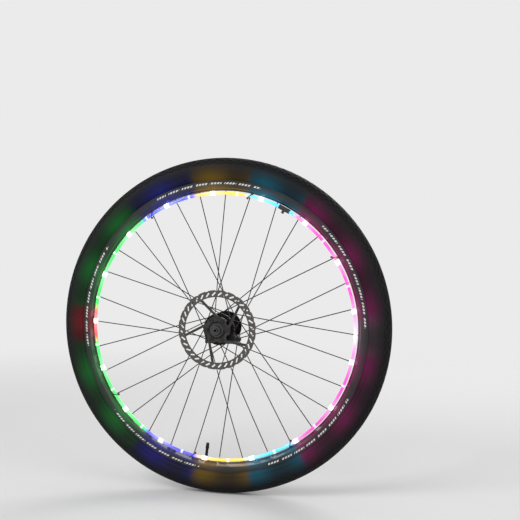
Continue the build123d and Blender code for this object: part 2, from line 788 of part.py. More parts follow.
# Battery case: a tray open downwards, with screw bosses, strap lugs and holes for gland and button.
case_low_x = case_shift - case_length / 2
case_high_x = case_shift + case_length / 2
tray_bottom = case_bottom + lid_thickness + gasket_thickness
screw_spots = [
    (case_shift + side_x * (case_length / 2 - screw_inset), case_middle + side_y * (case_width / 2 - screw_inset))
    for side_x in (-1, 1)
    for side_y in (-1, 1)
]
end_wall = case_high_x - case_wall
bar_x = barrel_radius + strap_gap + strap_thickness + strap_gap + strap_bar_radius
bar_z = case_top + strap_bar_radius + strap_thickness + 2 * strap_gap
lug_inner = strap_width / 2 + strap_gap
with BuildPart() as battery_case:
    with BuildSketch(Plane.XY.offset(tray_bottom)):
        with Locations((case_shift, case_middle)):
            RectangleRounded(case_length, case_width, case_corner)
    extrude(amount=case_top - tray_bottom)
    chamfer(battery_case.faces().sort_by(Axis.Z)[-1].edges(), 1.0)
    with BuildSketch(Plane.XY.offset(tray_bottom)):
        with Locations((case_shift, case_middle)):
            RectangleRounded(case_length - 2 * case_wall, case_width - 2 * case_wall, case_corner - case_wall)
    extrude(amount=case_top - tray_bottom - case_wall, mode=Mode.SUBTRACT)
    with BuildSketch(Plane.XY.offset(tray_bottom)):
        with Locations(*screw_spots):
            Circle(boss_radius)
    extrude(amount=case_top - tray_bottom - case_wall)
    with BuildSketch(Plane.XY.offset(tray_bottom)):
        with Locations(*screw_spots):
            Circle(screw_radius + press_gap)
    extrude(amount=screw_length, mode=Mode.SUBTRACT)
    for side in (-1, 1):
        for end in (-1, 1):
            lug_place = strap_place + end * lug_inner
            with BuildSketch(Plane.XZ.offset(-lug_place)):
                with BuildLine():
                    foot = side * bar_x
                    Polyline(
                        (foot - 3.2, case_top - 0.6),
                        (foot + 3.2, case_top - 0.6),
                        (foot + strap_bar_radius + 0.6, bar_z),
                        (foot, bar_z + strap_bar_radius + 0.6),
                        (foot - strap_bar_radius - 0.6, bar_z),
                        close=True,
                    )
                make_face()
            extrude(amount=-end * lug_thickness)
        with BuildSketch(Plane.XZ.offset(-(strap_place - lug_inner))):
            with Locations((side * bar_x, bar_z)):
                Circle(strap_bar_radius)
        extrude(amount=-2 * lug_inner)
    with BuildSketch(Plane.YZ.offset(end_wall - 1)):
        with Locations((gland_place, gland_height)):
            Circle(gland_thread_radius + press_gap)
        with Locations((button_place, gland_height)):
            Circle(button_radius + button_gap)
    extrude(amount=case_wall + 2, mode=Mode.SUBTRACT)
battery_case.part.label = "battery_case"

with BuildPart() as lid_gasket:
    with BuildSketch(Plane.XY.offset(case_bottom + lid_thickness)):
        with Locations((case_shift, case_middle)):
            RectangleRounded(case_length - 0.4, case_width - 0.4, case_corner - 0.2)
            RectangleRounded(
                case_length - 0.4 - 2 * gasket_width,
                case_width - 0.4 - 2 * gasket_width,
                case_corner - gasket_width,
                mode=Mode.SUBTRACT,
            )
    extrude(amount=gasket_thickness)
lid_gasket.part.label = "lid_gasket"

with BuildPart() as battery_lid:
    with BuildSketch(Plane.XY.offset(case_bottom)):
        with Locations((case_shift, case_middle)):
            RectangleRounded(case_length, case_width, case_corner)
    extrude(amount=lid_thickness)
    chamfer(battery_lid.faces().sort_by(Axis.Z)[0].edges(), 0.5)
    lip_length = case_length - 2 * (case_wall + lid_gap)
    lip_width = case_width - 2 * (case_wall + lid_gap)
    with BuildSketch(Plane.XY.offset(case_bottom + lid_thickness)):
        with Locations((case_shift, case_middle)):
            RectangleRounded(lip_length, lip_width, case_corner - case_wall)
            Rectangle(lip_length - 2 * lid_lip_wall, lip_width - 2 * lid_lip_wall, mode=Mode.SUBTRACT)
        with Locations(*screw_spots):
            Rectangle(2 * screw_inset, 2 * screw_inset, mode=Mode.SUBTRACT)
    extrude(amount=lid_lip_height)
    with BuildSketch(Plane.XY.offset(case_bottom)):
        with Locations(*screw_spots):
            Circle(screw_radius + press_gap)
    extrude(amount=lid_thickness, mode=Mode.SUBTRACT)
    with BuildSketch(Plane.XY.offset(case_bottom)):
        with Locations(*screw_spots):
            Circle(screw_head_radius + 0.1)
    extrude(amount=screw_head_height, mode=Mode.SUBTRACT)
battery_lid.part.label = "battery_lid"

with BuildPart() as lid_screws:
    with BuildSketch(Plane.XY.offset(case_bottom)):
        with Locations(*screw_spots):
            Circle(screw_head_radius)
    extrude(amount=screw_head_height)
    with BuildSketch(Plane.XY.offset(case_bottom + screw_head_height)):
        with Locations(*screw_spots):
            Circle(screw_radius)
    extrude(amount=screw_length)
    with BuildSketch(Plane.XY.offset(case_bottom)):
        with Locations(*screw_spots):
            Rectangle(2.4, 0.6)
            Rectangle(0.6, 2.4)
    extrude(amount=0.6, mode=Mode.SUBTRACT)
lid_screws.part.label = "lid_screws"

# Cells lie side by side between two contact strips, with a leaf spring at each cell's foot.
cells_low_x = case_shift + contact_start + contact_thickness + spring_reach
cell_height = (case_top - case_wall + tray_bottom) / 2 - 0.2
cell_places = [case_middle + (index - (cell_count - 1) / 2) * (2 * cell_radius + cell_gap) for index in range(cell_count)]
with BuildPart() as battery_cells:
    for index, place in enumerate(cell_places):
        turned = index % 2
        start = cells_low_x + (cell_tip_length if turned else 0)
        with BuildSketch(Plane.YZ.offset(start)):
            with Locations((place, cell_height)):
                Circle(cell_radius)
        extrude(amount=cell_length)
        tip = start if turned else start + cell_length
        with BuildSketch(Plane.YZ.offset(tip)):
            with Locations((place, cell_height)):
                Circle(cell_tip_radius)
        extrude(amount=-cell_tip_length if turned else cell_tip_length)
battery_cells.part.label = "battery_cells"

contact_high_x = cells_low_x + cell_length + cell_tip_length + 0.2
with BuildPart() as contact_plates:
    for start in (case_shift + contact_start, contact_high_x):
        for place in cell_places:
            with BuildSketch(Plane.YZ.offset(start)):
                with Locations((place, cell_height)):
                    Rectangle(2 * cell_radius - 1.5, contact_height)
            extrude(amount=contact_thickness)
contact_plates.part.label = "contact_plates"

spring_low_x = case_shift + contact_start + contact_thickness
with BuildPart() as contact_springs:
    for place in cell_places:
        with BuildSketch(Plane.XZ.offset(-(place - 1.5))):
            with BuildLine():
                Polyline(
                    (spring_low_x + 0.05, cell_height - 3.6),
                    (spring_low_x + 0.35, cell_height - 3.6),
                    (spring_low_x + spring_reach - 0.1, cell_height - 0.3),
                    (spring_low_x + spring_reach - 0.1, cell_height + 0.3),
                    (spring_low_x + 0.35, cell_height + 3.6),
                    (spring_low_x + 0.05, cell_height + 3.6),
                    (spring_low_x + spring_reach - 0.5, cell_height),
                    close=True,
                )
            make_face()
        extrude(amount=-3)
contact_springs.part.label = "contact_springs"

# Control board on edge by the end wall, with the push switch that the button presses.
board_x = case_shift + control_board_place
board_top = case_top - case_wall - board_wall_gap
board_bottom = tray_bottom + lid_lip_height - 1.0
with BuildPart() as control_board:
    box_between(
        (board_x, case_start + case_wall + 4.2, board_bottom),
        (board_x + control_board_thickness, case_end - case_wall - 4.2, board_top),
    )
control_board.part.label = "control_board"

switch_start = board_x + control_board_thickness
button_inner = end_wall - button_rim_thickness - 0.1
with BuildPart() as switch_body:
    box_between(
        (switch_start, button_place - switch_size / 2, gland_height - switch_size / 2),
        (switch_start + switch_height, button_place + switch_size / 2, gland_height + switch_size / 2),
    )
switch_body.part.label = "switch_body"

with BuildPart() as power_button:
    with BuildSketch(Plane.YZ.offset(button_inner)):
        with Locations((button_place, gland_height)):
            Circle(button_rim_radius)
    extrude(amount=button_rim_thickness)
    with BuildSketch(Plane.YZ.offset(button_inner)):
        with Locations((button_place, gland_height)):
            Circle(button_radius)
    extrude(amount=case_high_x + button_rise - button_inner)
    with BuildSketch(Plane.YZ.offset(button_inner)):
        with Locations((button_place, gland_height)):
            Circle(1.5)
    extrude(amount=-(button_inner - switch_start - switch_height - button_travel - 0.1))
power_button.part.label = "power_button"

with BuildPart() as cable_gland:
    with BuildSketch(Plane.YZ.offset(end_wall - 1.5)):
        with Locations((gland_place, gland_height)):
            Circle(gland_thread_radius)
    extrude(amount=case_wall + 1.5)
    with BuildSketch(Plane.YZ.offset(case_high_x + press_gap)):
        with Locations((gland_place, gland_height)):
            RegularPolygon(gland_hex_radius, 6)
    extrude(amount=gland_hex_length)
    with BuildSketch(Plane.YZ.offset(case_high_x)):
        with Locations((gland_place, gland_height)):
            Circle(gland_nose_radius)
    extrude(amount=gland_hex_length + gland_nose_length, taper=4)
    with BuildSketch(Plane.YZ.offset(end_wall - 2)):
        with Locations((gland_place, gland_height)):
            Circle(lead_hole_radius)
    extrude(amount=case_wall + 20, mode=Mode.SUBTRACT)
cable_gland.part.label = "cable_gland"

# Strap: over the barrel, down both sides, round the lug bars and back up on itself.
leg_x = barrel_radius + strap_gap + strap_thickness / 2
fold_radius = strap_bar_radius + strap_gap + strap_thickness / 2
with BuildPart() as case_strap:
    with BuildSketch(Plane.XZ.offset(-(strap_place - strap_width / 2))):
        with BuildLine() as strap_line:
            CenterArc((0, 0), leg_x, 0, 180)
            for side in (-1, 1):
                flap_x = side * (leg_x + 2 * fold_radius)
                Line((side * leg_x, 0), (side * leg_x, bar_z))
                ThreePointArc((side * leg_x, bar_z), (side * (leg_x + fold_radius), bar_z - fold_radius), (flap_x, bar_z))
                Line((flap_x, bar_z), (flap_x, strap_flap_top))
        trace(line_width=strap_thickness)
    extrude(amount=-strap_width)
case_strap.part.label = "case_strap"

with BuildPart() as case_saddle:
    with BuildSketch(Plane.XZ.offset(-(strap_place - strap_width / 2))):
        with Locations((0, case_top)):
            Rectangle(2 * saddle_half_length, 6, align=(Align.CENTER, Align.MIN))
        Circle(barrel_radius + saddle_gap, mode=Mode.SUBTRACT)
    extrude(amount=-strap_width)
case_saddle.part.label = "case_saddle"

export_step(rim.part, "parts/rim.step")
export_step(tyre.part, "parts/tyre.step")
export_step(hub_shell.part, "parts/hub_shell.step")
export_step(axle.part, "parts/axle.step")
export_step(disc_end_cap, "parts/disc_end_cap.step")
export_step(far_end_cap, "parts/far_end_cap.step")
export_step(bearing_inner_races.part, "parts/bearing_inner_races.step")
export_step(bearing_outer_races.part, "parts/bearing_outer_races.step")
export_step(brake_rotor.part, "parts/brake_rotor.step")
export_step(rotor_bolts.part, "parts/rotor_bolts.step")
export_step(spokes_disc_side.part, "parts/spokes_disc_side.step")
export_step(spokes_far_side.part, "parts/spokes_far_side.step")
export_step(spoke_nipples.part, "parts/spoke_nipples.step")
export_step(valve_stem.part, "parts/valve_stem.step")
export_step(valve_lock_ring.part, "parts/valve_lock_ring.step")
export_step(valve_cap.part, "parts/valve_cap.step")
export_step(string_tube.part, "parts/string_tube.step")
export_step(string_wires.part, "parts/string_wires.step")
export_step(light_boards.part, "parts/light_boards.step")
export_step(light_chips.part, "parts/light_chips.step")
export_step(light_beads.part, "parts/light_beads.step")
export_step(string_collars.part, "parts/string_collars.step")
export_step(string_junction.part, "parts/string_junction.step")
export_step(spoke_ties.part, "parts/spoke_ties.step")
export_step(battery_case.part, "parts/battery_case.step")
export_step(lid_gasket.part, "parts/lid_gasket.step")
export_step(battery_lid.part, "parts/battery_lid.step")
export_step(lid_screws.part, "parts/lid_screws.step")
export_step(battery_cells.part, "parts/battery_cells.step")
export_step(contact_plates.part, "parts/contact_plates.step")
export_step(contact_springs.part, "parts/contact_springs.step")
export_step(control_board.part, "parts/control_board.step")
export_step(switch_body.part, "parts/switch_body.step")
export_step(power_button.part, "parts/power_button.step")
export_step(cable_gland.part, "parts/cable_gland.step")
export_step(case_strap.part, "parts/case_strap.step")
export_step(case_saddle.part, "parts/case_saddle.step")
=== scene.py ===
"""A lit bicycle front wheel: tyre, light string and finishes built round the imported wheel."""

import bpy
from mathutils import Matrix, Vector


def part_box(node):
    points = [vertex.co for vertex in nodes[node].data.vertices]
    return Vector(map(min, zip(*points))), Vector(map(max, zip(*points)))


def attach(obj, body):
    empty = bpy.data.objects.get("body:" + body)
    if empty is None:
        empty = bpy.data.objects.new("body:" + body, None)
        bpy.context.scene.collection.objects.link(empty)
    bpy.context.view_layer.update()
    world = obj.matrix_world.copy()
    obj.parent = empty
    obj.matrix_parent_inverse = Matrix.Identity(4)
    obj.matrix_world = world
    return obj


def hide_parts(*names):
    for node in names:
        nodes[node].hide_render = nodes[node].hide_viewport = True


bl_info = {
    "name": "Lit bicycle wheel",
    "version": (1, 0, 0),
    "blender": (4, 5, 0),
    "location": "3D View > Sidebar > Wheel",
    "description": "Builds the tyre, the light string and the finishes of a lit front wheel",
    "category": "Object",
}

from math import atan2, cos, degrees, hypot, pi, radians, sin, tau

import bmesh
import bpy
from mathutils import Matrix, Vector

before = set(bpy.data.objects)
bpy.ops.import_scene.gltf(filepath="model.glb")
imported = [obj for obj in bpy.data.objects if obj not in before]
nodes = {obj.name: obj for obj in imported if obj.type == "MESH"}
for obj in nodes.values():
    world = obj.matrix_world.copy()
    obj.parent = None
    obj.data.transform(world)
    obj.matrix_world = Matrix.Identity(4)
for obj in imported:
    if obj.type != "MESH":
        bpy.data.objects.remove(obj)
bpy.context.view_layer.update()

# Colours that the string shows round the rim: (share of a turn from +X towards +Z, colour)
STRING_COLOURS = (
    (0.000, (1.00, 0.62, 0.86)),
    (0.022, (1.00, 0.005, 0.42)),
    (0.152, (1.00, 0.005, 0.42)),
    (0.160, (0.00, 0.60, 0.95)),
    (0.214, (0.00, 0.60, 0.95)),
    (0.222, (1.00, 0.55, 0.00)),
    (0.277, (1.00, 0.55, 0.00)),
    (0.285, (0.03, 0.05, 1.00)),
    (0.349, (0.03, 0.05, 1.00)),
    (0.357, (0.00, 0.85, 0.09)),
    (0.474, (0.00, 0.85, 0.09)),
    (0.482, (1.00, 0.012, 0.012)),
    (0.514, (1.00, 0.012, 0.012)),
    (0.522, (0.00, 0.85, 0.09)),
    (0.644, (0.00, 0.85, 0.09)),
    (0.652, (0.05, 0.03, 1.00)),
    (0.716, (0.05, 0.03, 1.00)),
    (0.724, (1.00, 0.55, 0.00)),
    (0.778, (1.00, 0.55, 0.00)),
    (0.786, (0.00, 0.60, 0.95)),
    (0.840, (0.00, 0.60, 0.95)),
    (0.848, (1.00, 0.005, 0.42)),
    (0.972, (1.00, 0.005, 0.42)),
    (0.992, (1.00, 0.62, 0.86)),
)


# Sizes and colours


class WheelSizes(bpy.types.PropertyGroup):
    """Sizes of the tyre and the light string"""

    tyre_middle: bpy.props.FloatProperty(
        name="Tyre middle radius", description="Radius of the middle of the tyre's section",
        default=0.318, unit="LENGTH")
    tyre_section: bpy.props.FloatProperty(
        name="Tyre section radius", description="Radius of the tyre's section without its tread",
        default=0.0242, unit="LENGTH")
    tread_height: bpy.props.FloatProperty(
        name="Tread height", description="How far the tread blocks stand out",
        default=0.0008, unit="LENGTH")
    tyre_steps: bpy.props.IntProperty(
        name="Tyre steps", description="Steps round the tyre, a multiple of four", default=480)
    tyre_wall: bpy.props.FloatProperty(
        name="Tyre wall", description="Thickness of the tyre's wall", default=0.0022, unit="LENGTH")
    string_radius: bpy.props.FloatProperty(
        name="String radius", description="Distance of the light string from the axle",
        default=0.2726, unit="LENGTH")
    string_place: bpy.props.FloatProperty(
        name="String place", description="Place of the light string along the axle",
        default=-0.0104, unit="LENGTH")
    tube_radius: bpy.props.FloatProperty(
        name="Tube radius", description="Outer radius of the clear tube", default=0.003, unit="LENGTH")
    light_count: bpy.props.IntProperty(
        name="Lights", description="Number of lights on the string", default=17)
    first_light: bpy.props.FloatProperty(
        name="First light", description="Angle of the first light in the wheel's plane",
        default=radians(8.65), subtype="ANGLE")
    junction_slot: bpy.props.IntProperty(
        name="Junction slot", description="Which space between lights holds the junction", default=2)


class WheelColours(bpy.types.PropertyGroup):
    """Colours of the main finishes"""

    rubber: bpy.props.FloatVectorProperty(
        name="Rubber", description="Colour of the tyre", subtype="COLOR", size=3,
        default=(0.0052, 0.0052, 0.0058))
    black_metal: bpy.props.FloatVectorProperty(
        name="Black metal", description="Colour of the rim and the hub", subtype="COLOR", size=3,
        default=(0.011, 0.011, 0.012))
    steel: bpy.props.FloatVectorProperty(
        name="Steel", description="Colour of bare steel", subtype="COLOR", size=3,
        default=(0.125, 0.118, 0.112))
    case_plastic: bpy.props.FloatVectorProperty(
        name="Case plastic", description="Colour of the battery case", subtype="COLOR", size=3,
        default=(0.022, 0.022, 0.024))
    floor: bpy.props.FloatVectorProperty(
        name="Floor", description="Colour of the floor", subtype="COLOR", size=3,
        default=(0.70, 0.70, 0.70))


def sizes():
    return bpy.context.scene.wheel_sizes


def colours():
    return bpy.context.scene.wheel_colours


# Finishes


class Signal:
    """A shader socket that takes part in plain arithmetic."""

    def __init__(self, finish, socket):
        self.finish = finish
        self.socket = socket

    def _maths(self, operation, *values):
        return self.finish.node("ShaderNodeMath", {"operation": operation}, *values)

    def __add__(self, other):
        return self._maths("ADD", self, other)

    def __radd__(self, other):
        return self._maths("ADD", other, self)

    def __sub__(self, other):
        return self._maths("SUBTRACT", self, other)

    def __rsub__(self, other):
        return self._maths("SUBTRACT", other, self)

    def __mul__(self, other):
        return self._maths("MULTIPLY", self, other)

    def __rmul__(self, other):
        return self._maths("MULTIPLY", other, self)

    def __truediv__(self, other):
        return self._maths("DIVIDE", self, other)

    def __gt__(self, other):
        return self._maths("GREATER_THAN", self, other)

    def __lt__(self, other):
        return self._maths("LESS_THAN", self, other)

    def root(self):
        return self._maths("SQRT", self)

    def size(self):
        return self._maths("ABSOLUTE", self)

    def wave(self):
        return self._maths("SINE", self)

    def remainder(self, other):
        return self._maths("FLOORED_MODULO", self, other)

    def smooth(self, low, high):
        """Rises smoothly from 0 to 1 as the signal goes from low to high."""
        return self.finish.node("ShaderNodeMapRange", {"interpolation_type": "SMOOTHSTEP"}, self, low, high)

    def within(self, low, full, last, high):
        """Rises from low to full, stays at 1, and falls from last to high."""
        return self.smooth(low, full) * (1 - self.smooth(last, high))


class Finish:
    """One material built from nodes, with its Principled shader ready to feed."""

    def __init__(self, name):
        self.material = bpy.data.materials.new(name)
        self.material.use_nodes = True
        self.tree = self.material.node_tree
        self.shader = self.tree.nodes["Principled BSDF"]
        self.place = self.node("ShaderNodeTexCoord", {}, output="Object")

    def node(self, kind, settings, *values, output=0, **named):
        """Adds a node, makes its settings, then feeds its sockets in order or by name."""
        made = self.tree.nodes.new(kind)
        stops = settings.pop("stops", None)
        for key, value in settings.items():
            setattr(made, key, value)
        if stops:
            ramp = made.color_ramp
            while len(ramp.elements) < len(stops):
                ramp.elements.new(0.5)
            for element, stop in zip(ramp.elements, stops):
                element.position = stop[0]
            for element, stop in zip(ramp.elements, stops):
                element.color = (*stop[1], 1)
        for key, value in [*enumerate(values), *named.items()]:
            if value is not None:
                self.feed(made.inputs[key], value)
        return Signal(self, made.outputs[output])

    def feed(self, socket, value):
        if isinstance(value, Signal):
            self.tree.links.new(value.socket, socket)
        elif isinstance(value, (tuple, list)) and socket.type == "RGBA":
            socket.default_value = (*value[:3], 1)
        else:
            socket.default_value = value

    def axes(self, vector=None):
        """The x, y and z of a vector, or of the object's own coordinates."""
        split = self.node("ShaderNodeSeparateXYZ", {}, vector or self.place)
        return [Signal(self, socket) for socket in split.socket.node.outputs]

    def polar(self):
        """Distance from the axle, share of a turn from +X towards +Z, and place along the axle."""
        x, y, z = self.axes()
        radius = (x * x + z * z).root()
        turn = (self.node("ShaderNodeMath", {"operation": "ARCTAN2"}, z, x) / tau).remainder(1.0)
        return radius, turn, y

    def vector(self, x, y, z):
        return self.node("ShaderNodeCombineXYZ", {}, x, y, z)

    def noise(self, scale, detail=3.0, roughness=0.55, vector=None):
        return self.node(
            "ShaderNodeTexNoise", {}, Vector=vector or self.place, Scale=scale, Detail=detail,
            Roughness=roughness)

    def mix(self, share, first, second):
        """Goes from the first colour to the second."""
        made = self.tree.nodes.new("ShaderNodeMix")
        made.data_type = "RGBA"
        self.feed(made.inputs[0], share)
        self.feed(made.inputs[6], first)
        self.feed(made.inputs[7], second)
        return Signal(self, made.outputs[2])

    def ramp(self, share, stops):
        return self.node("ShaderNodeValToRGB", {"stops": stops}, share)

    def bump(self, height, distance, strength=1.0):
        """Raises the surface by a height signal, over a distance in metres."""
        before = self.shader.inputs["Normal"]
        named = {"Height": height, "Distance": distance, "Strength": strength}
        if before.is_linked:
            named["Normal"] = Signal(self, before.links[0].from_socket)
        self.feed(before, self.node("ShaderNodeBump", {}, **named))

    def set(self, **values):
        for key, value in values.items():
            self.feed(self.shader.inputs[key.replace("_", " ")], value)


def string_glow(finish):
    """The local colour of the string, by the angle round the wheel."""
    turn = finish.polar()[1]
    return finish.ramp(turn, STRING_COLOURS)


def from_light(finish):
    """Length along the string from the nearest light, in metres."""
    size = sizes()
    turn = finish.polar()[1]
    pitch = 1 / size.light_count
    off = (turn - (size.first_light / tau - pitch / 2)).remainder(pitch) - pitch / 2
    return off.size() * (tau * size.string_radius)


def shine_on(finish, inner, outer, strength, edge=None):
    """Paints the lit string's coloured light onto the surface beside it as emission: full at the inner
    radius, gone at the outer one, with a painted highlight line at an edge's radius."""
    light_reach = 0.046
    line_full, line_gone = 0.0003, 0.0011
    lit_face, dark_face = -0.013, -0.004
    radius, _, place = finish.polar()
    # Painted glow: strongest near each light, fading outwards, and only on the face towards the string.
    near = 1 - from_light(finish).smooth(0.0, light_reach)
    share = (1 - radius.smooth(inner, outer)) * (0.25 + 0.75 * near)
    # Painted highlight: with an edge given, a bright line in the string's colour along that radius.
    if edge:
        painted_highlight_line = 1 - (radius - edge).size().smooth(line_full, line_gone)
        share = share + painted_highlight_line * (1.2 + 2.2 * near)
    side = 1 - place.smooth(lit_face, dark_face)
    finish.set(
        Emission_Color=finish.mix(share * side, (0, 0, 0), string_glow(finish)), Emission_Strength=strength)


def rubber_finish():
    finish = Finish("tyre_rubber")
    side_wall = (0.306, 0.309, 0.326, 0.33)
    rib_band = (0.3195, 0.3205, 0.3245, 0.3255)
    bead_band = (0.3035, 0.3045, 0.3095, 0.3105)
    rib_count, ring_pitch = 720, 0.0011
    radius, turn, _ = finish.polar()
    # Painted glow: the string's coloured light laid on the tyre's side wall as emission.
    shine_on(finish, inner=0.298, outer=0.336, strength=0.10)
    dust = finish.noise(38.0, 5.0)
    grain = finish.noise(900.0, 3.0)
    crown = radius.smooth(0.334, 0.341)
    tone = tuple(colours().rubber)
    worn = tuple(value * 1.9 + 0.004 for value in tone)
    colour = finish.mix(dust.smooth(0.42, 0.72) * (0.25 + 0.55 * crown), tone, worn)
    finish.set(Base_Color=colour, Roughness=0.5 + 0.2 * dust + 0.08 * crown, Specular_IOR_Level=0.13)
    ribs = (turn * (tau * rib_count)).wave() * radius.within(*side_wall) * radius.within(*rib_band)
    rings = (radius * (tau / ring_pitch)).wave() * radius.within(*bead_band)
    finish.bump(ribs * 0.5 + rings * 0.45, 0.00035)
    finish.bump(grain, 0.00018)
    return finish.material


def rim_finish():
    finish = Finish("rim_black_anodised")
    marked_band = (0.2902, 0.2904, 0.2936, 0.2938)
    run_ends = (0.10, 0.11, 0.70, 0.71)
    run_count, dash_count, gap_count = 5.0, 290.0, 61.0
    radius, turn, place = finish.polar()
    # Painted glow: the string's coloured light laid on the rim as emission, with a painted highlight line
    # along the rim's corner.
    shine_on(finish, inner=0.279, outer=0.299, strength=0.16, edge=0.2822)
    lines = finish.noise(9.0, 4.0, 0.6, finish.vector(radius * 420.0, place * 420.0, turn * 3.0))
    cloud = finish.noise(26.0, 3.0)
    # Pale printed dashes of no meaning, in five runs round both side walls.
    side = radius.within(*marked_band) * place.size().smooth(0.0133, 0.0138)
    runs = (turn * run_count + 0.08).remainder(1.0)
    lean = turn + (radius - 0.29) * 0.35
    dash = ((lean * dash_count).remainder(1.0) < 0.64) * ((lean * gap_count).remainder(1.0) > 0.2)
    marks = side * runs.within(*run_ends) * dash
    tone = tuple(colours().black_metal)
    bare = finish.mix(cloud.smooth(0.4, 0.7), tone, tuple(v * 1.7 for v in tone))
    colour = finish.mix(marks, bare, (0.62, 0.62, 0.6))
    finish.set(
        Base_Color=colour, Metallic=0.55 * (1 - marks), Roughness=0.24 + 0.16 * lines + 0.2 * marks,
        Coat_Weight=0.35, Coat_Roughness=0.12)
    finish.bump(lines, 0.00006)
    return finish.material


def hub_finish():
    finish = Finish("hub_black_satin")
    radius, _, place = finish.polar()
    turned = finish.noise(6.0, 4.0, 0.6, finish.vector(radius * 900.0, place * 900.0, 0.0))
    wear = finish.noise(60.0, 4.0)
    tone = tuple(colours().black_metal)
    finish.set(
        Base_Color=finish.mix(wear.smooth(0.5, 0.75), tone, tuple(v * 2.4 for v in tone)),
        Metallic=0.7, Roughness=0.3 + 0.15 * turned)
    finish.bump(turned, 0.00008)
    return finish.material


def metal_finish(name, tone, roughness, grain):
    """Bare metal with fine turning marks round the axle."""
    finish = Finish(name)
    radius, turn, place = finish.polar()
    marks = finish.noise(5.0, 4.0, 0.6, finish.vector(radius * grain, place * grain, turn))
    smear = finish.noise(75.0, 4.0)
    finish.set(
        Base_Color=finish.mix(smear.smooth(0.45, 0.8), tone, tuple(v * 0.72 for v in tone)),
        Metallic=1.0, Roughness=roughness + 0.16 * marks + 0.06 * smear)
    finish.bump(marks, 0.00005)
    return finish.material


def rotor_finish():
    finish = Finish("rotor_ground_steel")
    radius, turn, _ = finish.polar()
    ground = finish.noise(4.0, 5.0, 0.65, finish.vector(radius * 1500.0, 0.0, turn * 2.0))
    track_start, track_full = 0.0655, 0.0665
    track = radius.smooth(track_start, track_full)
    heat = finish.noise(30.0, 3.0)
    steel = tuple(colours().steel)
    centre = finish.mix(heat.smooth(0.35, 0.75), (0.062, 0.058, 0.055), (0.040, 0.038, 0.036))
    face = finish.mix(ground.smooth(0.35, 0.7), tuple(v * 0.8 for v in steel), steel)
    finish.set(
        Base_Color=finish.mix(track, centre, face), Metallic=1.0,
        Roughness=0.36 - 0.1 * track + 0.14 * ground)
    finish.bump(ground, 0.00005)
    return finish.material


def bearing_finish():
    finish = Finish("bearing_steel_and_seal")
    seal_band = (0.00902, 0.00906, 0.01174, 0.01178)
    lip_pitch = 0.0006
    radius = finish.polar()[0]
    seal = radius.within(*seal_band)
    wear = finish.noise(400.0, 3.0)
    finish.set(
        Base_Color=finish.mix(seal, tuple(colours().steel), (0.014, 0.014, 0.015)),
        Metallic=1.0 - seal, Roughness=0.22 + 0.35 * seal + 0.1 * wear)
    finish.bump((radius * (tau / lip_pitch)).wave() * seal, 0.0001)
    return finish.material


def spoke_finish():
    finish = Finish("spoke_black_steel")
    specks = finish.noise(240.0, 4.0)
    finish.set(
        Base_Color=finish.mix(specks.smooth(0.55, 0.8), (0.012, 0.012, 0.013), (0.05, 0.05, 0.052)),
        Metallic=0.7, Roughness=0.22 + 0.14 * specks)
    finish.bump(specks, 0.00003)
    return finish.material


def plain_finish(name, dark, light, roughness, metallic=0.0, grain=600.0, depth=0.00005):
    """A moulded or plated finish with fine grain and slight colour variation."""
    finish = Finish(name)
    patch = finish.noise(grain * 0.08, 3.0)
    fine = finish.noise(grain, 3.0)
    finish.set(
        Base_Color=finish.mix(patch.smooth(0.35, 0.7), dark, light), Metallic=metallic,
        Roughness=roughness + 0.14 * fine)
    finish.bump(fine, depth)
    return finish.material


def tube_finish():
    finish = Finish("clear_tube_lit")
    glow = string_glow(finish)
    fine = finish.noise(320.0, 2.0)
    # Painted glow: the clear tube's base colour takes the string's colour and it glows as emission, whiter
    # near each light.
    near = 1 - from_light(finish).smooth(0.004, 0.034)
    finish.set(
        Base_Color=finish.mix(0.9, (0.9, 0.93, 0.95), glow), Roughness=0.07 + 0.08 * fine,
        Alpha=0.58 + 0.12 * fine + 0.2 * near, Emission_Color=finish.mix(0.02 + 0.4 * near, glow, (1, 1, 1)),
        Emission_Strength=0.7, Coat_Weight=0.3, Coat_Roughness=0.05)
    finish.bump(fine, 0.00004)
    return finish.material


def wire_finish():
    finish = Finish("wire_lit")
    glow = string_glow(finish)
    # Painted glow: the wires glow as emission in the string's colour, whiter near each light, standing in for
    # the bright lines of light along the tube.
    turn = finish.polar()[1]
    strand = (turn * (tau * 620)).wave().smooth(-0.9, 0.9)
    near = 1 - from_light(finish).smooth(0.006, 0.04)
    finish.set(
        Base_Color=finish.mix(0.7, (0.8, 0.66, 0.5), glow), Roughness=0.3 + 0.1 * strand, Metallic=0.3,
        Emission_Color=finish.mix(0.25 + 0.15 * strand + 0.5 * near, glow, (1, 1, 1)), Emission_Strength=1.8)
    finish.bump(strand, 0.0001)
    return finish.material


def bead_finish():
    finish = Finish("clear_bead_lit")
    glow = string_glow(finish)
    fine = finish.noise(500.0, 2.0)
    # Painted glow: the bead's base colour takes the string's colour and it glows as emission, white at its
    # core over the light.
    core = 1 - from_light(finish).smooth(0.0022, 0.0062)
    finish.set(
        Base_Color=finish.mix(0.5, (0.95, 0.97, 1.0), glow), Roughness=0.05 + 0.06 * fine,
        Alpha=0.55 + 0.1 * fine + 0.2 * core, Emission_Color=finish.mix(0.15 + 0.85 * core, glow, (1, 1, 1)),
        Emission_Strength=1.9, Coat_Weight=0.8, Coat_Roughness=0.03)
    finish.bump(fine, 0.00003)
    return finish.material


def chip_finish():
    finish = Finish("light_chip_lit")
    glow = string_glow(finish)
    fine = finish.noise(2500.0, 2.0)
    finish.set(
        Base_Color=finish.mix(fine, (0.95, 0.95, 0.9), (1, 1, 1)), Roughness=0.3,
        Emission_Color=finish.mix(0.04, glow, (1, 1, 1)), Emission_Strength=2600.0)
    return finish.material


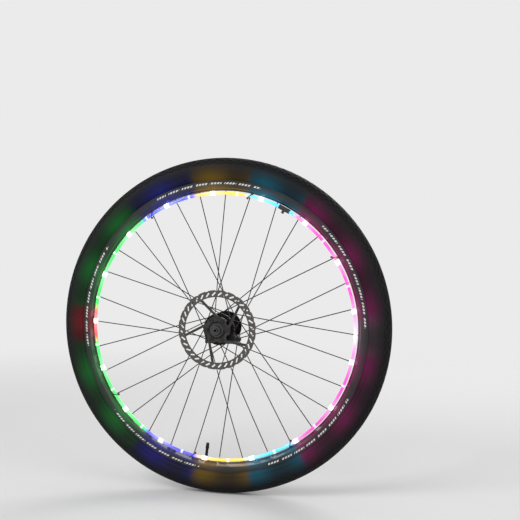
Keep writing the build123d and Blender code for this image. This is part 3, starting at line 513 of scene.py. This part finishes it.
def clear_finish():
    finish = Finish("clear_plastic_collar")
    glow = string_glow(finish)
    fine = finish.noise(600.0, 2.0)
    # Painted glow: the collar's base colour takes the string's colour and it glows as emission.
    finish.set(
        Base_Color=finish.mix(0.5, (0.92, 0.94, 0.96), glow), Roughness=0.06 + 0.08 * fine,
        Alpha=0.6 + 0.15 * fine, Emission_Color=finish.mix(0.45, glow, (1, 1, 1)), Emission_Strength=1.1,
        Coat_Weight=0.8, Coat_Roughness=0.04)
    finish.bump(fine, 0.00004)
    return finish.material


def case_finish(name, tone):
    """Moulded plastic with a spark-eroded texture and random rubbed patches that are slightly lighter and
    smoother.
    """
    finish = Finish(name)
    spark = finish.noise(1500.0, 3.0)
    pits = finish.noise(420.0, 2.0)
    rub = finish.noise(55.0, 4.0)
    finish.set(
        Base_Color=finish.mix(rub.smooth(0.5, 0.8), tone, tuple(v * 1.8 for v in tone)),
        Roughness=0.44 + 0.2 * spark - 0.1 * rub.smooth(0.55, 0.75))
    finish.bump(spark * 0.7 + pits * 0.3, 0.00012)
    return finish.material


def webbing_finish():
    """Woven webbing: ribs across the strap, finer warp along it, from the strap's own map."""
    finish = Finish("strap_webbing")
    weft_pitch, warp_pitch = 0.0011, 0.0009
    along, across = finish.axes(finish.node("ShaderNodeUVMap", {"uv_map": "lay"}))[:2]
    weft = (along * (tau / weft_pitch)).wave()
    warp = (across * (tau / warp_pitch) + along * (pi / weft_pitch)).wave()
    fuzz = finish.noise(1400.0, 4.0)
    edge = across.size().smooth(0.0085, 0.0088)
    finish.set(
        Base_Color=finish.mix((weft * warp).smooth(-0.6, 0.8), (0.010, 0.010, 0.011), (0.034, 0.034, 0.037)),
        Roughness=0.78 + 0.12 * fuzz - 0.1 * edge, Sheen_Weight=0.3)
    finish.bump(weft * 0.5 + warp * 0.5 + fuzz * 0.4, 0.00022)
    return finish.material


# Modelling helpers


def deselect():
    if bpy.context.mode != "OBJECT":
        bpy.ops.object.mode_set(mode="OBJECT")
    bpy.ops.object.select_all(action="DESELECT")


def only(piece):
    deselect()
    piece.select_set(True)
    bpy.context.view_layer.objects.active = piece


def in_edit(piece, *steps):
    """Runs modelling steps on a piece in edit mode, with nothing selected at the start."""
    only(piece)
    bpy.ops.object.mode_set(mode="EDIT")
    bpy.ops.mesh.select_all(action="DESELECT")
    for step in steps:
        step()
    bpy.ops.object.mode_set(mode="OBJECT")


def pick_faces(piece, test):
    """Selects the faces whose centre and normal pass a test, while in edit mode."""
    bpy.ops.mesh.select_mode(type="FACE")
    mesh = bmesh.from_edit_mesh(piece.data)
    for face in mesh.faces:
        face.select_set(bool(test(face.calc_center_median(), face.normal)))
    mesh.select_flush_mode()
    bmesh.update_edit_mesh(piece.data)


def pick_edges(piece, test):
    """Selects the edges that pass a test of the edge itself, while in edit mode."""
    bpy.ops.mesh.select_mode(type="EDGE")
    mesh = bmesh.from_edit_mesh(piece.data)
    for edge in mesh.edges:
        edge.select_set(bool(test(edge)))
    mesh.select_flush_mode()
    bmesh.update_edit_mesh(piece.data)


def settle(piece):
    """Puts a piece's place, turn and size into its mesh."""
    only(piece)
    bpy.ops.object.transform_apply(location=True, rotation=True, scale=True)


def finish_modifier(piece, kind, name, **settings):
    """Adds a modifier and applies it."""
    only(piece)
    modifier = piece.modifiers.new(name, kind)
    for key, value in settings.items():
        setattr(modifier, key, value)
    bpy.ops.object.modifier_apply(modifier=name)


def smooth(piece, angle):
    only(piece)
    bpy.ops.object.shade_smooth_by_angle(angle=radians(angle))


def dress(piece, material, body, stands_for=()):
    """Gives a piece its material, its body and the CAD nodes that it stands for."""
    piece.data.materials.clear()
    piece.data.materials.append(material)
    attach(piece, body)
    if stands_for:
        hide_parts(*stands_for)


def paint(material, *names):
    """Gives CAD nodes a material."""
    for name in names:
        nodes[name].data.materials.clear()
        nodes[name].data.materials.append(material)


def rounded_copy(node, name, width, steps=2, angle=35.0):
    """A copy of a CAD node with its triangles merged into faces and its edges rounded."""
    merge_distance, flat_angle, edge_angle = 0.000004, 1.0, 30.0
    piece = bpy.data.objects.new(name, nodes[node].data.copy())
    bpy.context.scene.collection.objects.link(piece)
    in_edit(
        piece,
        lambda: bpy.ops.mesh.select_all(action="SELECT"),
        lambda: bpy.ops.mesh.remove_doubles(threshold=merge_distance),
        lambda: bpy.ops.mesh.dissolve_limited(angle_limit=radians(flat_angle)),
    )
    if width:
        finish_modifier(
            piece, "BEVEL", "round", width=width, segments=steps, limit_method="ANGLE",
            angle_limit=radians(edge_angle), use_clamp_overlap=True, harden_normals=False)
    smooth(piece, angle)
    if width:
        finish_modifier(piece, "WEIGHTED_NORMAL", "level", keep_sharp=True, weight=100)
    return piece


def ring_of_copies(piece, name, angles):
    """Copies of a piece turned about the axle, joined into one piece."""
    copies = []
    for angle in angles:
        copy = bpy.data.objects.new(name, piece.data.copy())
        bpy.context.scene.collection.objects.link(copy)
        copy.data.transform(Matrix.Rotation(-angle, 4, "Y"))
        copies.append(copy)
    deselect()
    for copy in copies:
        copy.select_set(True)
    bpy.context.view_layer.objects.active = copies[0]
    bpy.ops.object.join()
    bpy.data.objects.remove(piece)
    copies[0].name = name
    return copies[0]


def light_angles():
    size = sizes()
    return [size.first_light + index * tau / size.light_count for index in range(size.light_count)]


def junction_angle():
    size = sizes()
    return size.first_light + (size.junction_slot + 0.5) * tau / size.light_count


def sleeve(name, radius, bore, length, chamfer):
    """A short clear sleeve round the string at angle 0, with rounded mouths."""
    size = sizes()
    deselect()
    bpy.ops.mesh.primitive_cylinder_add(
        vertices=28, radius=radius, depth=length, location=(size.string_radius, size.string_place, 0))
    piece = bpy.context.active_object
    piece.name = name
    settle(piece)
    tolerance = 1e-5

    def at_mouth(at):
        return abs(at.z) > length / 2 - tolerance

    def off_middle(at):
        return hypot(at.x - size.string_radius, at.y - size.string_place)

    def on_outer_rim(edge):
        return all(at_mouth(v.co) and off_middle(v.co) > radius * 0.98 for v in edge.verts)

    in_edit(
        piece,
        lambda: pick_faces(piece, lambda at, out: at_mouth(at)),
        lambda: bpy.ops.mesh.inset(thickness=radius - bore, use_individual=True),
        lambda: pick_faces(piece, lambda at, out: at_mouth(at) and off_middle(at) < bore * 0.5),
        lambda: bpy.ops.mesh.bridge_edge_loops(),
        lambda: pick_edges(piece, on_outer_rim),
        lambda: bpy.ops.mesh.bevel(offset=chamfer, segments=4),
        lambda: bpy.ops.mesh.select_all(action="SELECT"),
        lambda: bpy.ops.mesh.normals_make_consistent(inside=False),
    )
    smooth(piece, 50)
    return piece


# Operators


class WHEEL_OT_tyre(bpy.types.Operator):
    """Builds the tyre: a ring with tread blocks, drawn down to its beads and given its wall"""

    bl_idname = "wheel.tyre"
    bl_label = "Tyre"

    def execute(self, context):
        size = sizes()
        steps, rings = size.tyre_steps, 48
        tread_rows, open_angle = 7, 132
        # From each open edge down to the bead: (radius, place along the axle)
        bead_line = ((0.3006, 0.0146), (0.2984, 0.0125), (0.2925, 0.0124), (0.2921, 0.0098))
        deselect()
        bpy.ops.mesh.primitive_torus_add(
            major_radius=size.tyre_middle, minor_radius=size.tyre_section, major_segments=steps,
            minor_segments=rings, rotation=(pi / 2, 0, 0))
        tyre = context.active_object
        tyre.name = "tyre_casing"
        settle(tyre)

        def spread(at):
            """Angle round the tyre's section from its crown, in degrees."""
            return degrees(atan2(at.y, hypot(at.x, at.z) - size.tyre_middle))

        def on_tread(at, out):
            across = int(abs(spread(at)) // (360 / rings))
            along = int((atan2(at.z, at.x) / tau % 1.0) * steps)
            if across > tread_rows:
                return False
            if across == 3:
                return along % 4 != 1
            if across > 4:
                return (along + across) % 4 not in (0, 1)
            return (along + across) % 4 != 0

        def draw_in(reach, place):
            """Extrudes both open edges to a radius and a place along the axle."""
            bpy.ops.mesh.extrude_region_move()
            mesh = bmesh.from_edit_mesh(tyre.data)
            for vert in (v for v in mesh.verts if v.select):
                flat = hypot(vert.co.x, vert.co.z)
                vert.co.x *= reach / flat
                vert.co.z *= reach / flat
                vert.co.y = place if vert.co.y > 0 else -place
            bmesh.update_edit_mesh(tyre.data)

        in_edit(
            tyre,
            lambda: pick_faces(tyre, lambda at, out: abs(spread(at)) > open_angle),
            lambda: bpy.ops.mesh.delete(type="FACE"),
            lambda: pick_faces(tyre, on_tread),
            lambda: bpy.ops.mesh.extrude_region_shrink_fatten(
                TRANSFORM_OT_shrink_fatten={"value": size.tread_height}),
            lambda: pick_edges(tyre, lambda edge: edge.is_boundary),
            *[lambda point=point: draw_in(*point) for point in bead_line],
            lambda: bpy.ops.mesh.select_all(action="SELECT"),
            lambda: bpy.ops.mesh.normals_make_consistent(inside=False),
        )
        finish_modifier(tyre, "SOLIDIFY", "wall", thickness=size.tyre_wall, offset=-1.0)
        smooth(tyre, 30)
        dress(tyre, rubber_finish(), "wheel", ["tyre"])
        return {"FINISHED"}


class WHEEL_OT_rim(bpy.types.Operator):
    """Gives the rim its black anodised finish with pale dashes"""

    bl_idname = "wheel.rim"
    bl_label = "Rim"

    def execute(self, context):
        rim = rounded_copy("rim", "rim_hoop", 0.0, angle=28)
        dress(rim, rim_finish(), "wheel", ["rim"])
        return {"FINISHED"}


class WHEEL_OT_hub(bpy.types.Operator):
    """Rounds the hub's edges and finishes the hub, axle, end caps and bearings"""

    bl_idname = "wheel.hub"
    bl_label = "Hub"

    def execute(self, context):
        shell = rounded_copy("hub_shell", "hub_body", 0.0003, 2)
        dress(shell, hub_finish(), "wheel", ["hub_shell"])
        dark = metal_finish("axle_dark_anodised", (0.075, 0.075, 0.08), 0.3, 1200.0)
        for node in ("disc_end_cap", "far_end_cap"):
            cap = rounded_copy(node, node + "_turned", 0.00025, 2)
            dress(cap, dark, "axle", [node])
        paint(metal_finish("axle_bright_metal", (0.42, 0.42, 0.43), 0.26, 1200.0), "axle")
        paint(bearing_finish(), "bearing_outer_races", "bearing_inner_races")
        return {"FINISHED"}


class WHEEL_OT_rotor(bpy.types.Operator):
    """Finishes the brake rotor and its bolts"""

    bl_idname = "wheel.rotor"
    bl_label = "Brake rotor"

    def execute(self, context):
        rotor = rounded_copy("brake_rotor", "rotor_plate", 0.00015, 1)
        dress(rotor, rotor_finish(), "wheel", ["brake_rotor"])
        bolts = rounded_copy("rotor_bolts", "rotor_bolt_set", 0.0003, 2)
        dress(bolts, plain_finish(
            "bolt_black_oxide", (0.03, 0.03, 0.032), (0.055, 0.053, 0.05), 0.28, 0.9, 900.0, 0.00003),
            "wheel", ["rotor_bolts"])
        return {"FINISHED"}


class WHEEL_OT_spokes(bpy.types.Operator):
    """Smooths the spokes and nipples and finishes them"""

    bl_idname = "wheel.spokes"
    bl_label = "Spokes"

    def execute(self, context):
        black = spoke_finish()
        for node in ("spokes_disc_side", "spokes_far_side"):
            spokes = rounded_copy(node, node + "_drawn", 0.0, angle=66)
            dress(spokes, black, "wheel", [node])
        nipples = rounded_copy("spoke_nipples", "nipple_set", 0.0003, 2, 66)
        dress(nipples, plain_finish(
            "nipple_plated", (0.62, 0.62, 0.64), (0.48, 0.48, 0.5), 0.16, 1.0, 900.0, 0.00003),
            "wheel", ["spoke_nipples"])
        return {"FINISHED"}


class WHEEL_OT_valve(bpy.types.Operator):
    """Finishes the valve, with a thread on its stem"""

    bl_idname = "wheel.valve"
    bl_label = "Valve"

    def execute(self, context):
        low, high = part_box("valve_stem")
        middle = (low + high) / 2
        run = Vector((middle.x, 0, middle.z)).normalized()
        thread_pitch = 0.0008
        finish = Finish("valve_threaded")
        x, y, z = finish.axes()
        along = x * run.x + z * run.z
        across = x * -run.z + z * run.x
        lift = finish.node("ShaderNodeMath", {"operation": "ARCTAN2"}, y, across) / tau
        thread = ((along / thread_pitch + lift) * tau).wave()
        finish.set(
            Base_Color=finish.mix(thread.smooth(-0.8, 0.8), (0.010, 0.010, 0.011), (0.03, 0.03, 0.032)),
            Metallic=0.8, Roughness=0.32 + 0.08 * finish.noise(500.0))
        finish.bump(thread, 0.0003)
        paint(finish.material, "valve_stem")
        fine = plain_finish(
            "valve_black", (0.012, 0.012, 0.013), (0.025, 0.025, 0.027), 0.3, 0.8, 700.0, 0.00004)
        for node, width in (("valve_lock_ring", 0.0004), ("valve_cap", 0.0005)):
            piece = rounded_copy(node, node + "_turned", width, 3)
            dress(piece, fine, "wheel", [node])
        return {"FINISHED"}


class WHEEL_OT_string(bpy.types.Operator):
    """Builds the light string: tube, wires, beads over the lights and collars between them"""

    bl_idname = "wheel.string"
    bl_label = "Light string"

    def execute(self, context):
        size = sizes()
        gap, half_gap = junction_angle(), 0.012
        steps_round, wire_offset = 512, 0.00095

        def hoop(name, radius, thickness, rings):
            """A ring round the wheel at the string's place, open where the junction sits."""
            deselect()
            bpy.ops.mesh.primitive_torus_add(
                major_radius=radius, minor_radius=thickness, major_segments=steps_round, minor_segments=rings,
                location=(0, size.string_place, 0), rotation=(pi / 2, 0, 0))
            piece = context.active_object
            piece.name = name
            settle(piece)

            def hidden(at, out):
                turn = (atan2(at.z, at.x) - gap + pi) % tau - pi
                return abs(turn) < half_gap

            in_edit(
                piece,
                lambda: pick_faces(piece, hidden),
                lambda: bpy.ops.mesh.delete(type="FACE"),
                lambda: bpy.ops.mesh.select_all(action="SELECT"),
                lambda: bpy.ops.mesh.normals_make_consistent(inside=False),
            )
            return piece

        tube = hoop("string_clear_tube", size.string_radius, size.tube_radius, 20)
        finish_modifier(tube, "SOLIDIFY", "wall", thickness=0.0009, offset=-1.0)
        smooth(tube, 40)
        dress(tube, tube_finish(), "wheel", ["string_tube"])

        lit_wire = wire_finish()
        for name, step in (("string_wire_inner", -wire_offset), ("string_wire_outer", wire_offset)):
            wire = hoop(name, size.string_radius + step, 0.0005, 8)
            in_edit(
                wire,
                lambda: pick_edges(wire, lambda edge: edge.is_boundary),
                lambda: bpy.ops.mesh.edge_face_add(),
            )
            smooth(wire, 50)
            dress(wire, lit_wire, "wheel", ["string_wires"] if step < 0 else [])

        bead = sleeve("bead", radius=0.0042, bore=0.0031, length=0.012, chamfer=0.0010)
        beads = ring_of_copies(bead, "light_bead_set", light_angles())
        dress(beads, bead_finish(), "wheel", ["light_beads"])
        half = pi / size.light_count
        places = [angle + half for index, angle in enumerate(light_angles()) if index != size.junction_slot]
        collar = sleeve("collar", radius=0.0038, bore=0.00305, length=0.005, chamfer=0.0006)
        collars = ring_of_copies(collar, "string_collar_set", places)
        dress(collars, clear_finish(), "wheel", ["string_collars"])
        paint(chip_finish(), "light_chips")
        paint(plain_finish("board_white", (0.78, 0.78, 0.74), (0.7, 0.7, 0.66), 0.45), "light_boards")
        return {"FINISHED"}


class WHEEL_OT_fixings(bpy.types.Operator):
    """Rounds and finishes the string's junction and its ties"""

    bl_idname = "wheel.fixings"
    bl_label = "Junction and ties"

    def execute(self, context):
        junction = rounded_copy("string_junction", "junction_sleeve", 0.0004, 2)
        dress(junction, case_finish("junction_plastic", (0.018, 0.018, 0.02)), "wheel",
              ["string_junction"])
        ties = rounded_copy("spoke_ties", "tie_set", 0.00025, 2)
        nylon = plain_finish("tie_nylon", (0.013, 0.013, 0.014), (0.03, 0.03, 0.032), 0.34, 0.0, 800.0)
        dress(ties, nylon, "wheel", ["spoke_ties"])
        return {"FINISHED"}


class WHEEL_OT_case(bpy.types.Operator):
    """Rounds and finishes the battery case and what is in it"""

    bl_idname = "wheel.case"
    bl_label = "Battery case"

    def execute(self, context):
        plastic = case_finish("case_textured_plastic", tuple(colours().case_plastic))
        case = rounded_copy("battery_case", "case_shell", 0.0004, 3)
        dress(case, plastic, "wheel", ["battery_case"])
        lid = rounded_copy("battery_lid", "case_lid", 0.0004, 3)
        dress(lid, plastic, "lid", ["battery_lid"])
        screws = rounded_copy("lid_screws", "lid_screw_set", 0.00012, 2)
        plated = metal_finish("screw_plated", (0.5, 0.5, 0.52), 0.24, 300.0)
        dress(screws, plated, "lid", ["lid_screws"])
        rubber = plain_finish(
            "gasket_rubber", (0.014, 0.014, 0.015), (0.03, 0.03, 0.031), 0.6, 0.0, 500.0, 0.0001)
        paint(rubber, "lid_gasket")
        saddle = rounded_copy("case_saddle", "saddle_pad", 0.0005, 3)
        dress(saddle, rubber, "wheel", ["case_saddle"])
        button = rounded_copy("power_button", "button_cap", 0.0005, 4)
        dress(button, plain_finish(
            "button_rubber", (0.26, 0.27, 0.28), (0.34, 0.35, 0.36), 0.5, 0.0, 500.0, 0.00008),
            "button", ["power_button"])
        gland = rounded_copy("cable_gland", "gland_nut", 0.0003, 3)
        nut = case_finish("gland_plastic", (0.016, 0.016, 0.018))
        dress(gland, nut, "wheel", ["cable_gland"])
        wrap = plain_finish("cell_wrap", (0.16, 0.17, 0.19), (0.2, 0.21, 0.23), 0.3, 0.3, 400.0)
        paint(wrap, "battery_cells")
        contact = metal_finish("contact_plated", (0.62, 0.6, 0.55), 0.2, 300.0)
        paint(contact, "contact_plates", "contact_springs")
        board = plain_finish("board_green", (0.01, 0.11, 0.045), (0.015, 0.15, 0.06), 0.32, 0.0, 700.0)
        paint(board, "control_board")
        paint(plain_finish("switch_plastic", (0.02, 0.02, 0.022), (0.035, 0.035, 0.037), 0.4), "switch_body")
        return {"FINISHED"}


class WHEEL_OT_strap(bpy.types.Operator):
    """Lays the webbing strap over the hub and round the case's bars"""

    bl_idname = "wheel.strap"
    bl_label = "Strap"

    def execute(self, context):
        low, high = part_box("case_strap")
        edge_gap = 0.0002
        # How far the webbing's middle lies inside the CAD strap, and the radius of its fold round a bar
        wall, fold = 0.00075, 0.00205
        flap_top, step = 0.0038, 0.0008
        half, middle = (high.y - low.y) / 2 - edge_gap, (high.y + low.y) / 2
        leg, bar_z = high.z - wall, low.z + fold + wall
        flap, bar_x = leg + 2 * fold, leg + fold
        deselect()
        bpy.ops.mesh.primitive_grid_add(
            x_subdivisions=1, y_subdivisions=16, size=2 * half, location=(flap, middle, flap_top - step / 2),
            rotation=(0, pi / 2, 0))
        strap = context.active_object
        strap.name = "strap_webbing_band"
        strap.scale = (step / (2 * half), 1, 1)
        settle(strap)

        def run(height, steps=8):
            for _ in range(steps):
                bpy.ops.mesh.extrude_region_move(TRANSFORM_OT_translate={"value": (0, 0, height / steps)})

        def turn(x, z, angle, steps):
            bpy.ops.mesh.spin(steps=steps, angle=angle, center=(x, middle, z), axis=(0, 1, 0))

        in_edit(
            strap,
            lambda: pick_edges(strap, lambda edge: all(v.co.z < flap_top - step / 2 for v in edge.verts)),
            lambda: run(bar_z - flap_top + step),
            lambda: turn(bar_x, bar_z, pi, 12),
            lambda: run(-bar_z),
            lambda: turn(0, 0, -pi, 36),
            lambda: run(bar_z),
            lambda: turn(-bar_x, bar_z, pi, 12),
            lambda: run(flap_top - bar_z),
            lambda: bpy.ops.mesh.select_all(action="SELECT"),
            lambda: bpy.ops.mesh.remove_doubles(threshold=0.00002),
            lambda: bpy.ops.mesh.normals_make_consistent(inside=False),
        )

        def along(at):
            """Length along the strap from the top of the barrel."""
            side, x = (1 if at.x > 0 else -1), abs(at.x)
            if at.z >= -1e-6 and x < leg + 1e-5:
                return leg * atan2(at.x, at.z)
            down = leg * pi / 2
            if at.z > bar_z and x < bar_x:
                return side * (down - at.z)
            if at.z <= bar_z:
                return side * (down - bar_z + fold * (pi / 2 + atan2(x - bar_x, bar_z - at.z)))
            return side * (down - bar_z + fold * pi + at.z - bar_z)

        lay = strap.data.uv_layers.new(name="lay")
        for loop in strap.data.loops:
            at = strap.data.vertices[loop.vertex_index].co
            lay.data[loop.index].uv = along(at), at.y - middle
        for vert in strap.data.vertices:
            loose = 0.00012 if abs(vert.co.x) > bar_x and vert.co.z > bar_z else 0.00003
            vert.co.x += loose * sin(vert.co.z * 700 + vert.co.y * 160)
        finish_modifier(strap, "SOLIDIFY", "thickness", thickness=0.0013, offset=0.0)
        smooth(strap, 40)
        dress(strap, webbing_finish(), "wheel", ["case_strap"])
        return {"FINISHED"}


class WHEEL_OT_stage(bpy.types.Operator):
    """Makes the floor, the lamps, the world and the camera"""

    bl_idname = "wheel.stage"
    bl_label = "Stage"

    def execute(self, context):
        scene = context.scene
        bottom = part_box("tyre")[0].z
        deselect()
        bpy.ops.mesh.primitive_circle_add(
            vertices=96, radius=7.0, fill_type="NGON", location=(0, 0, bottom - 0.0003))
        floor = context.active_object
        floor.name = "floor"
        settle(floor)
        finish = Finish("floor_pale")
        ground = tuple(colours().floor)
        worn = tuple(v * 0.985 for v in ground)
        finish.set(Base_Color=finish.mix(finish.noise(3.0), ground, worn), Roughness=0.85)
        # The floor fades into the background between these distances from the middle.
        fade_start, fade_end = 0.7, 2.6
        x, y, _ = finish.axes()
        away = (x * x + y * y).root().smooth(fade_start, fade_end)
        clear = finish.node("ShaderNodeBsdfTransparent", {})
        shown = Signal(finish, finish.shader.outputs[0])
        out = finish.tree.nodes["Material Output"]
        finish.feed(out.inputs["Surface"], finish.node("ShaderNodeMixShader", {}, away, shown, clear))
        floor.data.materials.append(finish.material)

        def lamp(name, place, width, power):
            deselect()
            bpy.ops.object.light_add(type="AREA", location=place)
            light = context.active_object
            light.name = name
            light.data.size = width
            light.data.energy = power
            light.rotation_euler = (-Vector(place)).to_track_quat("-Z", "Y").to_euler()

        lamp("key_lamp", (-1.6, -2.2, 2.0), 1.6, 62)
        lamp("fill_lamp", (2.2, -1.6, 1.0), 1.8, 26)
        lamp("back_lamp", (0.6, 2.4, 1.8), 1.6, 40)

        world = bpy.data.worlds.new("pale_room")
        scene.world = world
        world.use_nodes = True
        tree = world.node_tree
        path = tree.nodes.new("ShaderNodeLightPath")
        seen = path.outputs["Is Camera Ray"]
        for ray in ("Is Transmission Ray", "Is Glossy Ray"):
            either = tree.nodes.new("ShaderNodeMath")
            either.operation = "MAXIMUM"
            tree.links.new(seen, either.inputs[0])
            tree.links.new(path.outputs[ray], either.inputs[1])
            seen = either.outputs[0]
        level = tree.nodes.new("ShaderNodeMapRange")
        level.inputs["To Min"].default_value = 0.42
        level.inputs["To Max"].default_value = 0.83
        tree.links.new(seen, level.inputs["Value"])
        background = tree.nodes["Background"]
        background.inputs["Color"].default_value = (1, 1, 1, 1)
        tree.links.new(level.outputs["Result"], background.inputs["Strength"])

        turn, rise, distance, lens = radians(15.0), radians(6.0), 1.85, 62.7
        back = Vector((sin(turn) * cos(rise), -cos(turn) * cos(rise), sin(rise)))
        bpy.ops.object.camera_add(location=back * distance)
        camera = context.active_object
        camera.name = "camera"
        camera.rotation_euler = (-back).to_track_quat("-Z", "Y").to_euler()
        camera.data.lens = lens
        picture, wheel_x, wheel_y = 520, 222, 328
        camera.data.shift_x = (picture / 2 - wheel_x) / picture
        camera.data.shift_y = (wheel_y - picture / 2) / picture
        scene.camera = camera
        scene.view_settings.view_transform = "Standard"
        return {"FINISHED"}


class WHEEL_PT_panel(bpy.types.Panel):
    """Lists the wheel's sizes, colours and steps"""

    bl_label = "Lit bicycle wheel"
    bl_idname = "WHEEL_PT_panel"
    bl_space_type = "VIEW_3D"
    bl_region_type = "UI"
    bl_category = "Wheel"

    def draw(self, context):
        layout = self.layout
        for group in (context.scene.wheel_sizes, context.scene.wheel_colours):
            column = layout.column()
            for key in group.__annotations__:
                column.prop(group, key)
        for operator in OPERATORS:
            layout.operator(operator.bl_idname)


GROUPS = (WheelSizes, WheelColours)
OPERATORS = (
    WHEEL_OT_tyre,
    WHEEL_OT_rim,
    WHEEL_OT_hub,
    WHEEL_OT_rotor,
    WHEEL_OT_spokes,
    WHEEL_OT_valve,
    WHEEL_OT_string,
    WHEEL_OT_fixings,
    WHEEL_OT_case,
    WHEEL_OT_strap,
    WHEEL_OT_stage,
)


def register():
    for item in (*GROUPS, *OPERATORS, WHEEL_PT_panel):
        bpy.utils.register_class(item)
    bpy.types.Scene.wheel_sizes = bpy.props.PointerProperty(type=WheelSizes)
    bpy.types.Scene.wheel_colours = bpy.props.PointerProperty(type=WheelColours)


def unregister():
    del bpy.types.Scene.wheel_colours
    del bpy.types.Scene.wheel_sizes
    for item in reversed((*GROUPS, *OPERATORS, WHEEL_PT_panel)):
        bpy.utils.unregister_class(item)


def main():
    register()
    bpy.ops.wheel.tyre()
    bpy.ops.wheel.rim()
    bpy.ops.wheel.hub()
    bpy.ops.wheel.rotor()
    bpy.ops.wheel.spokes()
    bpy.ops.wheel.valve()
    bpy.ops.wheel.string()
    bpy.ops.wheel.fixings()
    bpy.ops.wheel.case()
    bpy.ops.wheel.strap()
    bpy.ops.wheel.stage()
    deselect()
    bpy.context.view_layer.update()


if __name__ == "__main__":
    main()
